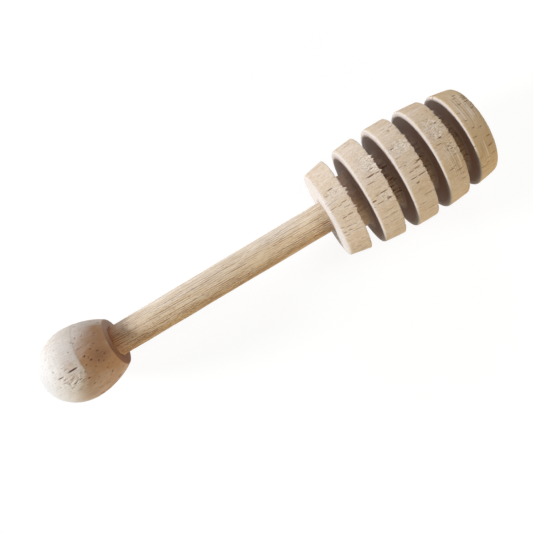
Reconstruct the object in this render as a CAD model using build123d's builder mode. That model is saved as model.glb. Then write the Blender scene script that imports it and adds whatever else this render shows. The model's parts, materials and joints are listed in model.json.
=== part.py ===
from build123d import *
import math
import os

os.makedirs("parts", exist_ok=True)

# A small wooden honey dipper in three pieces, lying on its side: a grooved head, a straight dowel
# for a handle, and an egg-shaped knob with a flat face. The dowel is glued into a blind bore at
# each end. All lengths are in millimetres.

# Handle dowel
dowel_diameter = 5.0
free_handle_length = 38.0
knob_tenon_length = 6.5
head_tenon_length = 11.5
dowel_chamfer = 0.4

# Glued fit of the dowel in its two bores
glue_film = 0.05
bore_bottom_gap = 0.5
drill_point_angle = 118

# End knob
knob_length = 13.2
knob_diameter = 12.06
knob_back_length = 6.8
knob_flat_diameter = 7.86
knob_flat_edge_radius = 0.25

# Grooved head
head_length = 25.5
head_belly_diameter = 16.9
head_end_diameter = 14.06
disc_count = 5
groove_width = 2.1
core_diameter = 9.0
disc_edge_radius = 0.25
far_edge_radius = 0.5
groove_root_radius = 0.25

# Worked out from the sizes above
bore_radius = dowel_diameter / 2 + glue_film
drill_point_length = bore_radius / math.tan(math.radians(drill_point_angle / 2))
knob_radius = knob_diameter / 2
knob_nose_length = knob_length - knob_back_length
belly_radius = head_belly_diameter / 2
head_end_radius = head_end_diameter / 2
core_radius = core_diameter / 2
disc_width = (head_length - (disc_count - 1) * groove_width) / disc_count
disc_pitch = disc_width + groove_width

# The head's outline is one arc, and near its widest ring the knob's outline follows a circle. The
# dipper rests on those two, so the line that touches both from below gives its lean to the floor.
belly_drop = belly_radius - head_end_radius
barrel_radius = ((head_length / 2) ** 2 + belly_drop ** 2) / (2 * belly_drop)
knob_roll_radius = knob_nose_length ** 2 / knob_radius
centres_apart = knob_back_length + free_handle_length + head_length / 2
centres_rise = (barrel_radius - belly_radius) - (knob_roll_radius - knob_radius)
lean = math.atan2(centres_apart, centres_rise) - math.acos(
    (barrel_radius - knob_roll_radius) / math.hypot(centres_apart, centres_rise)
)

# The origin is on the floor, under the middle of the whole dipper's length
flat_face_height = (
    knob_roll_radius
    + knob_back_length * math.sin(lean)
    - (knob_roll_radius - knob_radius) * math.cos(lean)
)
nose_reach = knob_back_length * math.cos(lean) + math.hypot(
    knob_nose_length * math.cos(lean), knob_radius * math.sin(lean)
)
far_corner_along = free_handle_length + head_length - far_edge_radius
far_corner_out = belly_radius - barrel_radius + math.sqrt(
    (barrel_radius - far_edge_radius) ** 2 - (head_length / 2 - far_edge_radius) ** 2
)
head_reach = far_corner_along * math.cos(lean) + far_corner_out * math.sin(lean) + far_edge_radius
flat_face_along = (nose_reach - head_reach) / 2


def section_plane(distance):
    """Upright plane along the dipper's axis, starting this far from the knob's flat face."""
    start = (
        flat_face_along + distance * math.cos(lean),
        0,
        flat_face_height + distance * math.sin(lean),
    )
    return Plane(origin=start, x_dir=(math.cos(lean), 0, math.sin(lean)), z_dir=(0, -1, 0))


def drilled_bore(mouth, depth):
    """Outline of half a drilled bore with its pointed bottom, from its mouth along the axis."""
    inwards = math.copysign(1, depth)
    return Polyline(
        (mouth, 0),
        (mouth, bore_radius),
        (mouth + depth, bore_radius),
        (mouth + depth + inwards * drill_point_length, 0),
        close=True,
    )


# Grooved head: one turned piece, five discs on a round core, with a blind bore for the dowel
head_plane = section_plane(free_handle_length)
with BuildPart() as dipper_head:
    with BuildSketch(head_plane) as head_section:
        with BuildLine():
            Line((0, 0), (0, head_end_radius))
            ThreePointArc(
                (0, head_end_radius),
                (head_length / 2, belly_radius),
                (head_length, head_end_radius),
            )
            Polyline((head_length, head_end_radius), (head_length, 0), (0, 0))
        make_face()
        groove_middles = [
            (disc_width + groove_width / 2 + number * disc_pitch, core_radius)
            for number in range(disc_count - 1)
        ]
        with Locations(*groove_middles):
            Rectangle(
                groove_width,
                belly_radius,
                align=(Align.CENTER, Align.MIN),
                mode=Mode.SUBTRACT,
            )
        corners = head_section.vertices().sort_by(head_plane.location.y_axis)
        rim_corners = corners[-2 * disc_count:].sort_by(head_plane.location.x_axis)
        root_corners = corners[-2 * disc_count - 2 * (disc_count - 1):-2 * disc_count]
        fillet(rim_corners[:-1], radius=disc_edge_radius)
        fillet(root_corners, radius=groove_root_radius)
        fillet(rim_corners[-1], radius=far_edge_radius)
        with BuildLine():
            drilled_bore(0, head_tenon_length + bore_bottom_gap)
        make_face(mode=Mode.SUBTRACT)
    revolve(axis=Axis(head_plane.origin, head_plane.x_dir))
dipper_head.part.label = "dipper_head"
export_step(dipper_head.part, "parts/dipper_head.step")

# Handle dowel: straight round stock, both ends chamfered so that they start in their bores
dowel_start = section_plane(-knob_tenon_length)
with BuildPart() as handle_dowel:
    with BuildSketch(Plane(origin=dowel_start.origin, z_dir=dowel_start.x_dir)):
        Circle(dowel_diameter / 2)
    extrude(amount=knob_tenon_length + free_handle_length + head_tenon_length)
    chamfer(handle_dowel.edges().filter_by(GeomType.CIRCLE), length=dowel_chamfer)
handle_dowel.part.label = "handle_dowel"
export_step(handle_dowel.part, "parts/handle_dowel.step")

# End knob: an egg shape cut flat where the handle enters
knob_plane = section_plane(0)
with BuildPart() as end_knob:
    with BuildSketch(knob_plane) as knob_section:
        with BuildLine():
            Line((0, 0), (0, knob_flat_diameter / 2))
            TangentArc(
                (-knob_back_length, knob_radius),
                (0, knob_flat_diameter / 2),
                tangent=(1, 0),
            )
            EllipticalCenterArc(
                (-knob_back_length, 0),
                x_radius=knob_nose_length,
                y_radius=knob_radius,
                start_angle=90,
                arc_size=90,
            )
            Line((-knob_length, 0), (0, 0))
        make_face()
        flat_rim = knob_section.vertices().group_by(head_plane.location.x_axis)[-1]
        fillet(flat_rim.sort_by(head_plane.location.y_axis)[-1], radius=knob_flat_edge_radius)
        with BuildLine():
            drilled_bore(0, -knob_tenon_length - bore_bottom_gap)
        make_face(mode=Mode.SUBTRACT)
    revolve(axis=Axis(knob_plane.origin, knob_plane.x_dir))
end_knob.part.label = "end_knob"
export_step(end_knob.part, "parts/end_knob.step")

print("lean to the floor, degrees", round(math.degrees(lean), 3))
print("disc width", round(disc_width, 3), "pitch", round(disc_pitch, 3))
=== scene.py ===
# %% [markdown]
# # A small wooden honey dipper
# This lesson dresses a packed CAD model of a honey dipper that lies on its side. The real thing is
# three pieces of bare turned wood: a barrel-shaped head with ring grooves, a straight dowel for a
# handle, and an egg-shaped knob. The CAD solids are exact but perfectly smooth, and raw wood isn't.
# So each piece is turned again here as a dense mesh, on the same sizes, and then gets its torn
# fibres, pores and cracks. The packed model is loaded first and stays the fixed frame.

# %% Load the packed model
import json
import math
import random
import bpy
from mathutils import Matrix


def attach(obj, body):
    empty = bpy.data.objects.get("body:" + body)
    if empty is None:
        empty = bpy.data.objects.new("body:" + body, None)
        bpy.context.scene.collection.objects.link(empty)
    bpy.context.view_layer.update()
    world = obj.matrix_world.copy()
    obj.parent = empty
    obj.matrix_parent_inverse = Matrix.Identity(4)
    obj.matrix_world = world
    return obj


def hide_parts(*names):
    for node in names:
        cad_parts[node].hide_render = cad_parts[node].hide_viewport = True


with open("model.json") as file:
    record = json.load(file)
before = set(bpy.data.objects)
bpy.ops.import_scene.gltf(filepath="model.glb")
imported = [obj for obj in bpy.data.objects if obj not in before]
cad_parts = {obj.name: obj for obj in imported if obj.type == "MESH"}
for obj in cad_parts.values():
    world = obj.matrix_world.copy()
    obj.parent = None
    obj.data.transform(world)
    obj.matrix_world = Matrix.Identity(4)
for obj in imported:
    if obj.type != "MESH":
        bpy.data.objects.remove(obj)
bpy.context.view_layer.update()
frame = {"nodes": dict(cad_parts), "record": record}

from types import SimpleNamespace

import bmesh
import bpy
import numpy as np
from mathutils import Matrix, Vector, noise

print("nodes", sorted(frame["nodes"]))

# %% [markdown]
# ## Where the dipper lies
# All three pieces are round about one line, the dipper's axis. It leans a little, because the head
# is fatter than the knob. Everything is easier to shape where that axis is simply X, as on a lathe,
# in millimetres, with zero at the knob's flat face. The record's handle mount gives the axis, so
# the matrix from the lathe to the floor is worked out from it rather than typed in again.

# %% From the lathe to the floor
MM = 0.001
grip = next(m for m in frame["record"]["mounts"] if m["name"] == "handle_grip")
HANDLE_LENGTH = grip["dims"]["length_mm"]
axis = Vector(grip["axis"])
LEAN = math.atan2(axis.z, axis.x)
flat_face_centre = Vector(grip["pos_m"]) - axis * HANDLE_LENGTH / 2 * MM
lathe_to_floor = (
    Matrix.Translation(flat_face_centre)
    @ Matrix.Rotation(-LEAN, 4, "Y")
    @ Matrix.Diagonal((MM, MM, MM, 1))
)
print("lean in degrees", round(math.degrees(LEAN), 3))

# %% [markdown]
# ## The camera
# The picture was taken from straight above and very near, some 90 mm, so the perspective is
# strong: the head, which is nearer to the lens, looks larger. The camera's place and turn were
# fitted to the outline and are given on the lathe's axes, then carried to the floor as the pieces
# are.

# %% Camera
CAMERA_PLACE = (29.19, 0, 92.42)
CAMERA_TURNS = (("Y", 1.960), ("X", -1.213), ("Z", -30.812))
LENS = 40.29
SENSOR_WIDTH = 36
NEAREST_SEEN = 0.005
camera = bpy.data.objects.new("camera", bpy.data.cameras.new("camera"))
bpy.context.scene.collection.objects.link(camera)
camera.data.lens = LENS
camera.data.sensor_width = SENSOR_WIDTH
camera.data.clip_start = NEAREST_SEEN
camera_turn = Matrix.Rotation(-LEAN, 4, "Y")
for letter, turn_degrees in CAMERA_TURNS:
    camera_turn = camera_turn @ Matrix.Rotation(math.radians(turn_degrees), 4, letter)
camera.matrix_world = Matrix.Translation(lathe_to_floor @ Vector(CAMERA_PLACE)) @ camera_turn
bpy.context.scene.camera = camera
print("camera at", [round(value, 4) for value in camera.location])

# %% [markdown]
# ## Drawing an outline
# A lathe makes a round piece from one outline, and so does bmesh's spin. The outline is a few
# corners joined by edges. It could be one list of close points, but corners are easier to read and
# to change: bevel rounds them, and subdivide breaks the long edges into short rows, because torn
# fibres need points to move.

# %% Draw an outline
CORNER_STEPS = 3


def draw_outline(bm, corners, row):
    """Draws the outline of a turned piece through its corners, cut into rows of this length."""
    points = [bm.verts.new((along, 0, out)) for along, out, rounding in corners]
    for pair in zip(points, points[1:]):
        bm.edges.new(pair)
    for radius in sorted({corner[2] for corner in corners} - {0}):
        bmesh.ops.bevel(
            bm,
            geom=[p for p, corner in zip(points, corners) if p.is_valid and corner[2] == radius],
            offset=radius,
            offset_type="OFFSET",
            affect="VERTICES",
            segments=CORNER_STEPS,
            profile=0.5,
            material=-1,
        )
        bm.verts.ensure_lookup_table()
    for edge in bm.edges[:]:
        middle = (edge.verts[0].co + edge.verts[1].co) / 2
        cuts = math.ceil(edge.calc_length() / row(middle.x, middle.z)) - 1
        if cuts > 0:
            bmesh.ops.subdivide_edges(bm, edges=[edge], cuts=cuts)


# %% [markdown]
# ## Turning it round
# Spin takes far longer for each further step, so it makes a coarse turn first and the rings are
# divided afterwards. Each point keeps its radius in a layer, so that the new points, which start
# on flat chords, can be pushed out to the true circle. The doubles on the axis are merged before
# the normals are recalculated, because spin can leave a shape inside out.

# %% Turn an outline
COARSE_STEPS = 80
TOUCHING = 0.0001
ON_AXIS = 0.001


def turn_round(bm, columns):
    """Turns the outline round X, with this many points to a ring."""
    bmesh.ops.spin(
        bm,
        geom=bm.verts[:] + bm.edges[:],
        axis=(1, 0, 0),
        cent=(0, 0, 0),
        angle=2 * math.pi,
        steps=COARSE_STEPS,
        use_merge=True,
    )
    bmesh.ops.remove_doubles(bm, verts=bm.verts[:], dist=TOUCHING)
    radius_layer = bm.verts.layers.float.new("radius")
    for vert in bm.verts:
        vert[radius_layer] = vert.co.yz.length
    ring_edges = [
        edge
        for edge in bm.edges
        if abs(edge.verts[0].co.x - edge.verts[1].co.x) < TOUCHING
        and abs(edge.verts[0][radius_layer] - edge.verts[1][radius_layer]) < TOUCHING
    ]
    bmesh.ops.subdivide_edges(
        bm, edges=ring_edges, cuts=columns // COARSE_STEPS - 1, use_grid_fill=True
    )
    for vert in bm.verts:
        if vert.co.yz.length > ON_AXIS:
            vert.co.yz *= vert[radius_layer] / vert.co.yz.length
    bmesh.ops.recalc_face_normals(bm, faces=bm.faces[:])


def turned(name, corners, columns, row):
    """Mesh of a solid turned round X. Corners are (along, out, rounding), from axis to axis."""
    bm = bmesh.new()
    draw_outline(bm, corners, row)
    turn_round(bm, columns)
    mesh = bpy.data.meshes.new(name)
    bm.to_mesh(mesh)
    bm.free()
    mesh.shade_smooth()
    print(name, "turned:", len(mesh.vertices), "points")
    return mesh


# %% [markdown]
# ## The grooved head
# The head is one piece of wood: a barrel 25.5 mm long with four ring grooves cut into it, which
# leave five discs on a core. Its outline follows a long arc, so every disc has its own size. The
# bore for the handle belongs to the outline too, from its drilled point to its mouth. The rims on
# the knob's side are cleanly cut. On the far side the tool left the fibres without support, so
# those rims are sharper here.

# %% Outline of the head
HEAD_LENGTH = 25.5
BELLY_RADIUS = 8.45
END_RADIUS = 7.03
CORE_RADIUS = 4.5
DISC_COUNT = 5
DISC_WIDTH = 3.42
DISC_PITCH = 5.52
RIM_ROUNDING = 0.3
ROOT_ROUNDING = 0.25
TORN_ROUNDING = 0.1
FAR_ROUNDING = 0.5
BORE_RADIUS = 2.55
BORE_DEPTH = 12
BORE_POINT = 1.53
belly_drop = BELLY_RADIUS - END_RADIUS
BARREL_RADIUS = ((HEAD_LENGTH / 2) ** 2 + belly_drop**2) / (2 * belly_drop)


def barrel(along):
    """Radius of the head's outer outline, this far from its handle end."""
    drop = BARREL_RADIUS - math.sqrt(BARREL_RADIUS**2 - (along - HEAD_LENGTH / 2) ** 2)
    return BELLY_RADIUS - drop


head_corners = [(BORE_DEPTH + BORE_POINT, 0, 0), (BORE_DEPTH, BORE_RADIUS, 0), (0, BORE_RADIUS, 0)]
for number in range(DISC_COUNT):
    near = number * DISC_PITCH
    far = near + DISC_WIDTH
    last = number == DISC_COUNT - 1
    head_corners += [
        (near, barrel(near), RIM_ROUNDING),
        ((near + far) / 2, barrel((near + far) / 2), 0),
        (far, barrel(far), FAR_ROUNDING if last else TORN_ROUNDING),
    ]
    if not last:
        head_corners.append((far, CORE_RADIUS, ROOT_ROUNDING))
        head_corners.append((near + DISC_PITCH, CORE_RADIUS, ROOT_ROUNDING))
head_corners.append((HEAD_LENGTH, 0, 0))
head_corners = [(HANDLE_LENGTH + along, out, rounding) for along, out, rounding in head_corners]
print("corners of the head's outline:", len(head_corners))

# %% [markdown]
# ## How fine the head has to be
# Points cost time and file size, so they go where something happens. The discs' outer faces, which
# turners call lands, get the shortest rows, for their pores and torn rims, and then the core. The
# walls of the grooves and the face round the handle stay coarse, and the bore is coarsest, because
# the handle fills it.

# %% Turn the head
HAIR = 0.01
CLOSE = 0.1
LAND_BAND = 0.5
LAND_ROW, CORE_ROW, END_ROW = 0.26, 0.35, 0.45
WALL_ROW, FACE_ROW, HIDDEN_ROW = 0.8, 1.0, 2.0


def head_row(along, out):
    """Longest edge of the head's outline near this place."""
    from_head = along - HANDLE_LENGTH
    if from_head > HEAD_LENGTH - HAIR:
        return END_ROW
    if out < BORE_RADIUS + CLOSE and from_head > HAIR:
        return HIDDEN_ROW
    if out < CORE_RADIUS - CLOSE or from_head < HAIR:
        return FACE_ROW
    if out < CORE_RADIUS + CLOSE:
        return CORE_ROW
    return LAND_ROW if out > barrel(from_head) - LAND_BAND else WALL_ROW


head_mesh = turned("dipper_head_wood", head_corners, columns=480, row=head_row)

# %% [markdown]
# ## The handle
# The handle is straight dowel stock, 5 mm thick, and it goes on inside the knob and the head,
# where nobody sees it. Only the free length, and a little more at both ends, gets fine rows.

# %% Outline of the handle
DOWEL_RADIUS = 2.5
KNOB_TENON = 6.5
HEAD_TENON = 11.5
DOWEL_CHAMFER = 0.4
PAST_JOINT = 0.5
DOWEL_ROW = 0.22
dowel_corners = [
    (-KNOB_TENON, 0, 0),
    (-KNOB_TENON, DOWEL_RADIUS - DOWEL_CHAMFER, 0),
    (-KNOB_TENON + DOWEL_CHAMFER, DOWEL_RADIUS, 0),
    (-PAST_JOINT, DOWEL_RADIUS, 0),
    (HANDLE_LENGTH + PAST_JOINT, DOWEL_RADIUS, 0),
    (HANDLE_LENGTH + HEAD_TENON - DOWEL_CHAMFER, DOWEL_RADIUS, 0),
    (HANDLE_LENGTH + HEAD_TENON, DOWEL_RADIUS - DOWEL_CHAMFER, 0),
    (HANDLE_LENGTH + HEAD_TENON, 0, 0),
]


def dowel_row(along, out):
    """Longest edge of the handle's outline near this place: fine where it is seen."""
    return DOWEL_ROW if -PAST_JOINT < along < HANDLE_LENGTH + PAST_JOINT else HIDDEN_ROW


dowel_mesh = turned("handle_dowel_wood", dowel_corners, columns=320, row=dowel_row)

# %% [markdown]
# ## The end knob
# The knob is egg-shaped: half an ellipse for its nose, and a flatter arc for its back, which a
# sharp little flat face cuts off where the handle enters. Two passes of the tool met on its back
# and left a fine ridge there, which shows as a crisp line. Bevel can't make an ellipse, so here
# the arcs are laid out as corners a fraction of a millimetre apart.

# %% Outline of the knob
KNOB_RADIUS = 6.03
KNOB_BACK = 6.8
KNOB_NOSE = 6.4
FLAT_RADIUS = 3.93
FLAT_ROUNDING = 0.25
KNOB_BORE_DEPTH = 7
RIDGE_FROM_FLAT = 4.5
RIDGE_HEIGHT = 0.025
ARC_POINTS = 60
KNOB_ROW = 0.2
back_drop = KNOB_RADIUS - FLAT_RADIUS
BACK_ARC_RADIUS = (KNOB_BACK**2 + back_drop**2) / (2 * back_drop)


def knob_outline(from_flat):
    """Radius of the knob, this far from its flat face towards the nose."""
    if from_flat > KNOB_BACK:
        share = min((from_flat - KNOB_BACK) / KNOB_NOSE, 1)
        return KNOB_RADIUS * math.sqrt(1 - share**2)
    rise = math.sqrt(BACK_ARC_RADIUS**2 - (KNOB_BACK - from_flat) ** 2)
    radius = KNOB_RADIUS - BACK_ARC_RADIUS + rise
    if from_flat < RIDGE_FROM_FLAT:
        radius -= RIDGE_HEIGHT * from_flat / RIDGE_FROM_FLAT
    return radius


knob_corners = [
    (-KNOB_BORE_DEPTH - BORE_POINT, 0, 0),
    (-KNOB_BORE_DEPTH, BORE_RADIUS, 0),
    (0, BORE_RADIUS, 0),
    (0, FLAT_RADIUS, FLAT_ROUNDING),
]
back_steps = [KNOB_BACK * (number + 1) / ARC_POINTS for number in range(ARC_POINTS)]
back_steps = [step for step in back_steps if step > 2 * FLAT_ROUNDING]
nose_steps = [
    KNOB_BACK + KNOB_NOSE * math.sin(math.pi / 2 * (number + 1) / ARC_POINTS)
    for number in range(ARC_POINTS)
]
knob_corners += [(-step, knob_outline(step), 0) for step in back_steps + nose_steps]


def knob_row(along, out):
    """Longest edge of the knob's outline near this place: coarse inside the bore."""
    in_bore = out < BORE_RADIUS + CLOSE and along > -KNOB_BORE_DEPTH - BORE_POINT
    return FACE_ROW if in_bore else KNOB_ROW


knob_mesh = turned("end_knob_wood", knob_corners, columns=400, row=knob_row)

# %% [markdown]
# ## Reading and moving the points
# Pores, cracks and torn grain are moves of the points, and the colour has to know about them. So
# each kind of wear is worked out once as a field, one number for each point, which moves the points
# and is also stored for the material to read. A texture could only colour the wood, and a modifier
# knows nothing of single pores. NumPy handles all points of a piece at once, so this stays quick.

# %% Read, move and store
def lathe_points(mesh):
    """The points of a mesh as rows of along, y and z."""
    flat = np.empty(len(mesh.vertices) * 3, np.float32)
    mesh.vertices.foreach_get("co", flat)
    return flat.reshape(-1, 3).astype(float)


def round_axis(points):
    """Distance from the axis and angle round it from the top, for each point."""
    return np.hypot(points[:, 1], points[:, 2]), np.arctan2(points[:, 1], points[:, 2])


def inwards(points, depth):
    """Moves points towards the axis by this much."""
    out, _ = round_axis(points)
    share = 1 - depth / np.maximum(out, ON_AXIS)
    points[:, 1] *= share
    points[:, 2] *= share


def set_fields(mesh, **fields):
    """Stores one number for each point under each name, for the material to read."""
    ones = np.ones(len(mesh.vertices))
    for name, values in fields.items():
        layer = mesh.attributes.new(name, "FLOAT", "POINT")
        layer.data.foreach_set("value", (values * ones).astype(np.float32))


def settle(mesh, points):
    """Writes the moved points back, and takes the mesh from the lathe to the floor."""
    mesh.vertices.foreach_set("co", points.astype(np.float32).ravel())
    mesh.transform(lathe_to_floor)
    mesh.update()


# %% [markdown]
# ## Marks and noise along the grain
# The grain of all three pieces runs along the dipper, and so do the pores, cracks and fibres. A
# mark is a short dash with tapered ends, given by its place along the axis, its angle round it
# from the top, its length, its width and its strength. What is too small and too plentiful to
# place comes from noise, drawn out along X until it looks like grain.

# %% Marks and noise
MARK_TAPER = 0.6
MARK_REACH = 0.6


def marked(points, marks, level, reach=MARK_REACH):
    """How deep each point lies in the marks, 0 to 1, on surfaces within reach of the level."""
    out, angle = round_axis(points)
    field = np.zeros(len(points))
    for along, degrees, length, width, strength in marks:
        band = np.abs(points[:, 0] - along) < length / 2
        band &= np.abs(out - level(along)) < reach
        rows = np.flatnonzero(band)
        across = (angle[rows] - math.radians(degrees) + math.pi) % (2 * math.pi) - math.pi
        lengthwise = np.abs(points[rows, 0] - along) / (length / 2)
        across = np.abs(across) * out[rows] / (width / 2 * (1 - MARK_TAPER * lengthwise**2))
        depth = strength * np.clip(1 - across**3, 0, 1) * np.clip(1 - lengthwise**4, 0, 1)
        field[rows] = np.maximum(field[rows], depth)
    return field


def grain_noise(points, along, across, seed):
    """Soft noise from -1 to 1 with its own size along the grain and across it, in mm."""
    scale = np.array([1 / along, 1 / across, 1 / across])
    return np.array([noise.noise(Vector(p) + Vector((seed, 0, 0))) for p in points * scale])


# %% [markdown]
# ## Pores of the head
# Pores are the tree's cut-open vessels, and on this wood they are dark dashes, up to a fifth of a
# millimetre wide. Noise would give pores like them, but each in a wrong place, so those that the
# picture shows clearly are placed one by one, disc for disc.

# %% Pores of the head that the picture shows
PORE = 0.14
WIDE_PORE = 0.22
THIN = 0.1
head_marks = [
    # first disc: along, degrees round, length, width, strength
    (39.6, 50, 0.45, PORE, 0.6), (38.8, 19.3, 0.7, PORE, 0.7),
    (39.7, 24.1, 1.0, WIDE_PORE, 0.9), (40.2, 18.2, 0.4, PORE, 0.8),
    (38.6, 2.8, 1.1, PORE, 0.7), (39.7, 2.4, 0.7, PORE, 0.6), (40.5, 3.5, 1.0, PORE, 0.8),
    (40.6, -2.3, 1.1, PORE, 0.6), (39.5, -11.9, 0.9, PORE, 0.9), (40.4, -11.2, 0.9, PORE, 0.9),
    (38.5, -21.7, 0.7, PORE, 0.7), (39.5, -23.1, 0.7, PORE, 0.8), (40.4, -24.2, 0.6, PORE, 0.7),
    (38.5, -28.9, 0.9, PORE, 0.8), (39.4, -28.4, 0.7, PORE, 0.8), (40.4, -31.5, 1.9, THIN, 0.5),
    (38.7, -33.6, 0.9, PORE, 0.7), (40.6, -47, 1.0, PORE, 0.7), (39.6, -58.9, 1.3, PORE, 0.8),
    # second disc
    (45.4, 11.7, 1.5, WIDE_PORE, 0.9), (46.5, 11.4, 0.9, PORE, 0.9),
    (44.9, 5.0, 1.6, PORE, 0.8), (44.8, -8.6, 0.9, PORE, 0.9), (45.9, -8.3, 1.4, PORE, 1.0),
    (44.1, -12.4, 0.9, WIDE_PORE, 0.9), (44.8, -16.4, 1.3, PORE, 0.6),
    (46.2, -16.2, 0.9, WIDE_PORE, 0.8), (46.1, 18.1, 0.5, PORE, 0.9),
    (43.8, -18, 0.5, PORE, 0.6), (44.4, -34.4, 1.4, THIN, 0.5), (45.8, -33.7, 1.6, PORE, 0.6),
    (44.3, -43.7, 0.9, PORE, 0.6), (45.5, -42.8, 1.6, THIN, 0.5), (44.1, -61, 0.9, THIN, 0.5),
    (45.3, -59.2, 1.4, THIN, 0.5),
    # third disc
    (51.2, 45.3, 0.5, WIDE_PORE, 0.9), (51.9, 49.7, 1.0, PORE, 0.9),
    (50.7, 51.6, 0.9, PORE, 0.6), (49.4, 23.7, 0.5, PORE, 0.8),
    (49.9, 23.7, 0.6, WIDE_PORE, 0.8), (49.8, 13, 0.9, PORE, 0.6), (51.7, -0.2, 0.6, PORE, 0.9),
    (52.2, 1.2, 0.9, WIDE_PORE, 1.0), (50.5, -5.1, 0.9, PORE, 0.7),
    (51.5, -4.7, 1.2, PORE, 0.7), (50.4, -11.9, 1.2, PORE, 0.9), (51.7, -11.9, 1.4, PORE, 1.0),
    (50.7, -17.7, 0.6, WIDE_PORE, 0.9), (50.2, 3.1, 0.6, PORE, 0.6),
    (50.2, 12.5, 0.7, THIN, 0.5), (49.8, 23.8, 0.5, PORE, 0.6), (50.6, -25, 1.5, THIN, 0.6),
    (51.5, -33, 1.8, THIN, 0.6), (50.2, -41, 1.6, PORE, 0.6), (51.2, -52, 1.8, THIN, 0.6),
    # fourth disc
    (56, 45.7, 0.35, PORE, 0.8), (56.6, 41.7, 0.35, PORE, 0.9), (57.4, 45.2, 0.5, PORE, 0.8),
    (57.1, 25.6, 0.6, WIDE_PORE, 0.8), (56.4, 9.3, 0.7, WIDE_PORE, 0.8),
    (55.8, 3.9, 1.0, PORE, 0.7), (56.8, -2.1, 0.4, PORE, 0.9), (57.3, -1, 0.4, PORE, 0.9),
    (57.1, -5.9, 0.4, PORE, 0.8), (57.2, -13, 0.7, PORE, 0.7), (55.8, -24.8, 0.9, PORE, 0.8),
    (57, -29.3, 1.2, PORE, 0.7), (57.2, -35, 1.0, PORE, 0.6), (57.2, -42.4, 1.2, PORE, 0.6),
    (55.6, 16.2, 0.5, PORE, 0.6), (57.6, 17.9, 0.5, PORE, 0.7),
    # fifth disc
    (62.1, 49.4, 0.6, WIDE_PORE, 1.0), (61.7, 43.8, 0.9, PORE, 0.9),
    (61.7, 32.3, 0.45, WIDE_PORE, 0.9), (60.7, 22.6, 0.4, PORE, 0.7),
    (60.9, 11.5, 0.6, PORE, 0.8), (61.3, 0.8, 0.5, WIDE_PORE, 0.8),
    (62.3, -2.4, 0.5, PORE, 0.8), (60.9, -9.2, 0.9, PORE, 0.7), (62.7, -15.3, 0.8, PORE, 0.9),
    (62.4, -26.1, 0.6, WIDE_PORE, 1.0), (62.9, -25.5, 0.5, PORE, 0.7),
    (62.6, -37.6, 0.9, PORE, 0.7), (60.2, -17.9, 0.4, PORE, 0.7), (61.7, -39.1, 0.6, PORE, 0.7),
    (61.5, -44.7, 0.8, PORE, 0.8), (62.3, -48.7, 0.6, PORE, 0.7), (60.4, -46.6, 0.6, PORE, 0.8),
    (61, -47.4, 0.9, PORE, 0.7), (62.5, -58.1, 0.4, PORE, 0.7), (61, -56.4, 1.2, PORE, 0.6),
    (60.6, 51.8, 0.5, PORE, 0.6), (62.9, 37.4, 0.7, THIN, 0.8), (63.0, 44, 0.5, PORE, 0.9),
    (63.1, 40.5, 0.35, 0.3, 0.8), (62.8, 33, 0.8, THIN, 0.9), (63.1, 26.5, 0.4, PORE, 0.8),
    (62.9, 22, 0.4, 0.24, 0.8), (62.5, 41.5, 0.3, THIN, 0.7), (62.4, 29.5, 0.6, THIN, 0.7),
]
print("pores placed on the head:", len(head_marks))

# %% [markdown]
# ## Pores dealt by chance
# The picture shows one half of the head, so chance deals the rest: a few faint pores between those
# placed one by one, and as many strong ones as there on the half that it hides. The core gets its
# own, most of them in the three far grooves, where the tool tore it more. The seed is fixed, so
# every run deals the same pores.

# %% Pores dealt by chance
chance = random.Random(11)
HIDDEN_SIDE = (62, 292)
FAINT = (0.2, 0.5)
STRONG = (0.6, 1)


def dealt_pores(count, along_range, degree_range, lengths, widths, strengths):
    """Marks dealt evenly over a stretch of the surface."""
    ranges = (along_range, degree_range, lengths, widths, strengths)
    return [tuple(chance.uniform(*r) for r in ranges) for _ in range(count)]


core_marks = []
for number in range(DISC_COUNT):
    near = HANDLE_LENGTH + number * DISC_PITCH
    land = (near + 0.2, near + DISC_WIDTH - 0.1)
    head_marks += dealt_pores(9, land, (-66, 10), (0.6, 2.2), (0.1, 0.13), FAINT)
    head_marks += dealt_pores(5, land, (0, 60), (0.2, 0.6), (0.1, 0.14), FAINT)
    head_marks += dealt_pores(44, land, HIDDEN_SIDE, (0.4, 1.5), (0.12, 0.22), STRONG)
    if number < DISC_COUNT - 1:
        groove = (near + DISC_WIDTH, near + DISC_PITCH)
        count, strongest = (9, 0.4) if number == 0 else (50, 1)
        strengths = (0.2, strongest)
        core_marks += dealt_pores(count, groove, (-180, 180), (0.5, 1.6), (0.1, 0.18), strengths)
print("pores in all:", len(head_marks) + len(core_marks))

# %% [markdown]
# ## What the tool left on the head
# Besides pores, the picture shows single splinters at the far rims, patches where the tool tore
# the grain, patches that it rubbed into fine rings, and a few burrs and scratches that follow the
# turning. They are short lists too, with a few guessed ones for the hidden side.

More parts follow.
